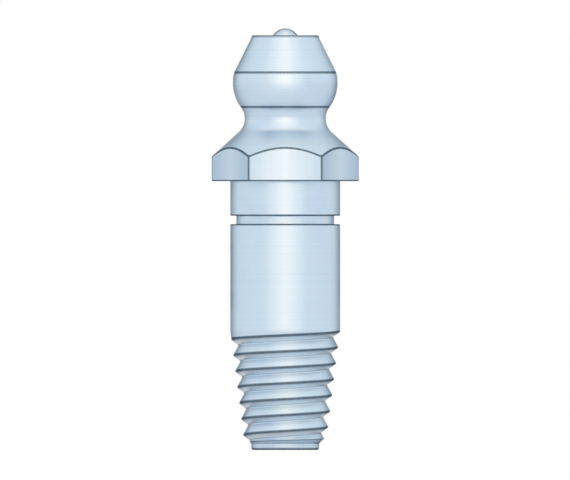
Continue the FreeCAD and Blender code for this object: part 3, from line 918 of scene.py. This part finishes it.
    def corner_marks(self, drawing: Outline) -> np.ndarray:
        """Works out how much painted shade line each point gets by being on one of the hexagon's upright
        corners.

        Args:
            drawing: the outline that the points follow.

        Returns:
            A value between 0 and 1 for each row and column.
        """
        away = np.abs(self.from_corner) / math.radians(self.corner_line_degrees)
        near = np.clip(self.corner_line_fullness - away, 0, 1)
        on_hexagon = np.array([marks.get("drawn", 0.0) for marks in drawing.marks])
        return (on_hexagon[:, None] * near[None, :]).astype(np.float32)

    def blank(self) -> Object:
        """Makes the turned blank, before its thread is cut.

        Returns:
            An object in mm, with the marks as point attributes.
        """
        drawing = self.outline()
        side = np.array(drawing.rows)
        cosine, sine = np.cos(self.angles), np.sin(self.angles)
        cosine[-1], sine[-1] = 1.0, 0.0
        places = np.stack([side[:, :, 0] * cosine, side[:, :, 0] * sine, side[:, :, 1]], axis=2)
        rows, columns = places.shape[:2]
        index = np.arange(rows * columns).reshape(rows, columns)
        down = np.roll(index, -1, axis=0)
        faces = np.stack([index[:, :-1], down[:, :-1], down[:, 1:], index[:, 1:]], axis=2).reshape(-1, 4)
        mesh = bpy.data.meshes.new("nipple_blank")
        mesh.from_pydata(places.reshape(-1, 3).tolist(), [], faces.tolist())
        for name in ("edge", "drawn", "faced", "threaded"):
            values = np.repeat([marks.get(name, 0.0) for marks in drawing.marks], columns).astype(np.float32)
            if name == "edge":
                values = np.maximum(values, self.corner_marks(drawing).reshape(-1))
            mesh.attributes.new(name, "FLOAT", "POINT").data.foreach_set("value", values)
        joined = bmesh.new()
        joined.from_mesh(mesh)
        bmesh.ops.remove_doubles(joined, verts=joined.verts, dist=SAME_PLACE_MM)
        bmesh.ops.dissolve_degenerate(joined, dist=SAME_PLACE_MM / 4, edges=joined.edges)
        bmesh.ops.recalc_face_normals(joined, faces=joined.faces)
        joined.to_mesh(mesh)
        joined.free()
        return new_object("nipple_blank", mesh)

    def build(self, finish: BluePassivatedZinc) -> Object:
        """Makes the body, cuts its thread and dresses it.

        Args:
            finish: the body's finish.

        Returns:
            The finished piece.
        """
        material = finish.make()
        thing = self.blank()
        mesh = run_tree(thing, self.thread.tree(), dict(self.thread.inputs(), Material=material))
        bpy.data.objects.remove(thing)
        piece = as_piece("turned_body", mesh, material)
        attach(piece, Body.FITTING.value)
        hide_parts("nipple_body")
        return piece


@dataclass
class CheckBall:
    """The ball check that closes the grease hole from inside."""

    diameter: float = 1.8
    dome_height: float = 0.43
    head_height: float = 9.16
    cuts: int = 40

    def build(self, finish: LappedBallSteel) -> Object:
        """Makes the ball from a divided cube pressed to the round, and dresses it.

        Args:
            finish: the ball's finish.

        Returns:
            The finished piece.
        """
        steps = np.tan(np.linspace(-math.pi / 4, math.pi / 4, self.cuts + 1))
        across, up = np.meshgrid(steps, steps)
        one = np.ones_like(across)
        sides = [
            (one, across, up), (-one, up, across), (up, one, across), (across, -one, up), (across, up, one),
            (up, across, -one),
        ]
        centre = self.head_height + self.dome_height - self.diameter / 2
        shell = bmesh.new()
        for x, y, z in sides:
            places = np.stack([x, y, z], axis=2)
            places /= np.linalg.norm(places, axis=2, keepdims=True)
            places = places * self.diameter / 2 + np.array([0.0, 0.0, centre])
            grid = [[shell.verts.new(tuple(place)) for place in row] for row in places]
            for low, high in zip(grid, grid[1:]):
                for left in range(self.cuts):
                    shell.faces.new((low[left], low[left + 1], high[left + 1], high[left]))
        bmesh.ops.remove_doubles(shell, verts=shell.verts, dist=SAME_PLACE_MM)
        bmesh.ops.recalc_face_normals(shell, faces=shell.faces)
        mesh = bpy.data.meshes.new("ball")
        shell.to_mesh(mesh)
        shell.free()
        piece = as_piece("lapped_ball", mesh, finish.make())
        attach(piece, Body.BALL.value)
        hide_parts("check_ball")
        return piece


@dataclass
class ValveSpring:
    """The compression spring under the ball: a closed turn at each end and live turns between."""

    wire: float = 0.25
    coil_radius: float = 0.825
    foot: float = 4.345
    top: float = 8.049
    closed_rise: float = 0.27
    live_turns: int = 4
    steps_a_turn: int = 48
    wire_sides: int = 14
    anchor_height: float = 4.2
    travel: float = 1.0

    # The sums are as in the thread. The first and last turns are closed, so they rise less.
    SUMS = {
        "all_turns": ("Live Turns", ("+", 2.0)),
        "turns": ("along", ("*", "all_turns")),
        "first": ("turns", *LIMITED),
        "live": ("turns", ("-", 1.0), ("MAXIMUM", 0.0), ("MINIMUM", "Live Turns")),
        "last": ("turns", ("-", 1.0), ("-", "Live Turns"), *LIMITED),
        "closed": ("first", ("+", "last"), ("*", "Closed Rise")),
        "height": ("live", ("*", "Live Pitch"), ("+", "closed"), ("+", "Foot")),
        "x": ("turns", ("*", TAU), ("COSINE",), ("*", "Coil Radius")),
        "y": ("turns", ("*", TAU), ("SINE",), ("*", "Coil Radius")),
        "wire_radius": ("Wire", ("/", 2.0)),
    }

    def inputs(self) -> dict[str, float]:
        """Gathers the tree's named inputs.

        Returns:
            The sizes in mm, the live turns and the number of points along the wire, by name.
        """
        live_pitch = (self.top - self.foot - 2 * self.closed_rise) / self.live_turns
        return {
            "Wire": self.wire, "Coil Radius": self.coil_radius, "Foot": self.foot,
            "Closed Rise": self.closed_rise, "Live Pitch": live_pitch, "Live Turns": float(self.live_turns),
            "Steps": (self.live_turns + 2) * self.steps_a_turn + 1,
        }

    def tree(self) -> NodeTree:
        """Builds the node tree that coils the wire.

        Returns:
            A tree that bends a straight line into the coil, sweeps the wire along it and sets the
            material.
        """
        tree, known = open_tree("CoilSpring", "Start", self.inputs(), "Spring")
        line = add(tree, "GeometryNodeCurvePrimitiveLine")
        even = add(tree, "GeometryNodeResampleCurve", Curve=line, Count=known["Steps"])
        known["along"] = add(tree, "GeometryNodeSplineParameter")

        for name, (first, *steps) in self.SUMS.items():
            known[name] = known.get(first, first)
            for sign, *terms in steps:
                fed = {f"i{number}": known.get(term, term) for number, term in enumerate(terms, 1)}
                settings = {"operation": SIGNS.get(sign, sign)}
                known[name] = add(tree, "ShaderNodeMath", settings, i0=known[name], **fed)

        place = add(tree, "ShaderNodeCombineXYZ", X=known["x"], Y=known["y"], Z=known["height"])
        bent = add(tree, "GeometryNodeSetPosition", Geometry=even, Position=place)
        upright = add(tree, "GeometryNodeSetCurveNormal", {"mode": "Z_UP"}, Curve=bent)
        ring = add(tree, "GeometryNodeCurvePrimitiveCircle", Resolution=self.wire_sides,
                   Radius=known["wire_radius"])
        swept = add(tree, "GeometryNodeCurveToMesh", Curve=upright, Profile_Curve=ring, Fill_Caps=True)
        close_tree(tree, swept, known["Material"])
        return tree

    def build(self, finish: DrawnSpringWire) -> Object:
        """Coils the spring and dresses it.

        Args:
            finish: the wire's finish.

        Returns:
            The finished piece.
        """
        material = finish.make()
        start = new_object("spring_start", bpy.data.meshes.new("spring_start"))
        mesh = run_tree(start, self.tree(), dict(self.inputs(), Material=material))
        bpy.data.objects.remove(start)
        piece = as_piece("coiled_spring", mesh, material)
        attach(piece, Body.FITTING.value)
        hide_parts("valve_spring")
        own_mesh(piece)
        return piece


@dataclass(frozen=True)
class Lamp:
    """A soft rectangular lamp that faces the object's middle.

    Its azimuth is 0 at the front and 90 on the right, and its distance and size are in mm. Its radiance
    is how much brighter than the white backdrop its face looks.
    """

    name: str
    azimuth: float
    elevation: float
    distance: float
    size: tuple[float, float]
    radiance: float

    def build(self, tone: str, middle_height: float) -> None:
        """Hangs the lamp.

        Args:
            tone: the colour of its light.
            middle_height: the height that it faces, in mm.
        """
        light = bpy.data.lights.new(self.name, "AREA")
        light.shape = "RECTANGLE"
        light.size = self.size[0] * MM
        light.size_y = self.size[1] * MM
        light.color = srgb(tone)[:3]
        light.energy = self.radiance * math.pi * light.size * light.size_y
        lamp = new_object(self.name, light)
        turn, tilt = math.radians(self.azimuth), math.radians(self.elevation)
        flat = self.distance * math.cos(tilt)
        height = middle_height + self.distance * math.sin(tilt)
        lamp.location = (flat * math.sin(turn) * MM, -flat * math.cos(turn) * MM, height * MM)
        lamp.rotation_euler = (math.pi / 2 - tilt, 0.0, turn)


@dataclass
class Studio:
    """A plain pale room: white backdrop, floor, soft lamps and the drawing's straight-on camera."""

    floor_height: float = -16.88
    floor_opening: float = 1.9
    floor_reach: float = 600.0
    floor_sides: int = 96
    floor_tones: tuple[str, str] = ("#ECF2F9", "#F4F8FD")
    frame_width: float = 35.795
    picture_centre: tuple[float, float] = (-0.013, -3.695)
    camera_distance: float = 250.0
    middle_height: float = -3.7
    even_light: float = 0.9
    lamp_tone: str = "#FFD5A8"
    lamps: tuple[Lamp, ...] = (
        Lamp("front_low_wide", 0, 8, 190, (270, 118), 0.42),
        Lamp("front_low_core", 0, 8, 180, (80, 118), 0.42),
        Lamp("front_middle_wide", 0, 45, 190, (270, 118), 0.27),
        Lamp("front_middle_core", 0, 45, 180, (80, 118), 0.28),
        Lamp("front_high_wide", 0, 82, 190, (270, 118), 0.18),
        Lamp("front_high_core", 0, 82, 180, (80, 118), 0.20),
        Lamp("left_side", -120, 4, 190, (110, 118), 0.18),
        Lamp("right_side", 120, 4, 190, (110, 118), 0.18),
        Lamp("rear_low", 180, 10, 190, (120, 120), 0.45),
        Lamp("rear_middle", 180, 48, 190, (120, 120), 0.35),
    )

    def floor(self) -> None:
        """Makes the floor, which carries the object's shadow."""
        material, tree = new_material("pale_floor")
        place = add(tree, "ShaderNodeTexCoord").outputs["Object"]
        mottle = add(tree, "ShaderNodeTexNoise", Vector=place, Scale=40.0, Detail=2.0)
        pale, paler = (srgb(tone) for tone in self.floor_tones)
        tone = add(tree, "ShaderNodeMix", COLOURS, Factor=mottle, A=pale, B=paler)
        shader = add(tree, "ShaderNodeBsdfPrincipled", Base_Color=tone, Roughness=0.6)
        # From underneath the floor is clear, so that the object's end can be looked at.
        beneath = add(tree, "ShaderNodeNewGeometry").outputs["Backfacing"]
        clear = add(tree, "ShaderNodeBsdfTransparent")
        both = add(tree, "ShaderNodeMixShader", Fac=beneath, i1=shader, i2=clear)
        add(tree, "ShaderNodeOutputMaterial", Surface=both)
        # The floor is open where the end face stands, or that face would only mirror it at no distance.
        count = self.floor_sides
        angles = [TAU * step / count for step in range(count)]
        places = [
            (math.cos(angle) * reach * MM, math.sin(angle) * reach * MM, self.floor_height * MM)
            for reach in (self.floor_opening, self.floor_reach) for angle in angles
        ]
        faces = [(step, count + step, count + (step + 1) % count, (step + 1) % count) for step in range(count)]
        mesh = bpy.data.meshes.new("floor")
        mesh.from_pydata(places, [], faces)
        mesh.materials.append(material)
        new_object("studio_floor", mesh)

    def world(self) -> None:
        """Sets the room's even light, white where the camera, metal or glass looks at it."""
        room = bpy.data.worlds.new("pale_room")
        bpy.context.scene.world = room
        room.use_nodes = True
        tree = room.node_tree
        tree.nodes.clear()
        path = add(tree, "ShaderNodeLightPath").outputs
        mirrored = add(tree, "ShaderNodeMath", {"operation": "MAXIMUM"}, i0=path["Is Camera Ray"],
                       i1=path["Is Glossy Ray"])
        seen = add(tree, "ShaderNodeMath", {"operation": "MAXIMUM"}, i0=mirrored,
                   i1=path["Is Transmission Ray"])
        even = add(tree, "ShaderNodeBackground", Color=srgb("#FFFFFF"), Strength=self.even_light)
        white = add(tree, "ShaderNodeBackground", Color=srgb("#FFFFFF"), Strength=1.0)
        both = add(tree, "ShaderNodeMixShader", Fac=seen, i1=even, i2=white)
        add(tree, "ShaderNodeOutputWorld", Surface=both)

    def camera(self) -> None:
        """Stands the camera square to the front, without perspective, as the drawing is made."""
        lens = bpy.data.cameras.new("front")
        lens.type = "ORTHO"
        lens.ortho_scale = self.frame_width * MM
        lens.clip_start = 0.001
        lens.clip_end = 5.0
        camera = new_object("front", lens)
        across, height = self.picture_centre
        camera.location = (across * MM, -self.camera_distance * MM, height * MM)
        camera.rotation_euler = (math.pi / 2, 0.0, 0.0)
        bpy.context.scene.camera = camera

    def build(self) -> None:
        """Sets up the floor, the room, the lamps and the camera."""
        bpy.context.scene.view_settings.view_transform = "Standard"
        self.floor()
        self.world()
        for lamp in self.lamps:
            lamp.build(self.lamp_tone, self.middle_height)
        self.camera()


def report(piece: Object) -> None:
    """Logs a finished piece's name and number of triangles."""
    triangles = sum(len(face.vertices) - 2 for face in piece.data.polygons)
    LOG.info("%s: %d triangles", piece.name, triangles)


def main() -> None:
    """Builds the object's pieces and the studio in order."""
    logging.basicConfig(level=logging.INFO, format="%(message)s")
    report(NippleBody().build(BluePassivatedZinc()))
    report(CheckBall().build(LappedBallSteel()))
    report(ValveSpring().build(DrawnSpringWire()))
    Studio().build()


if __name__ == "__main__":
    main()
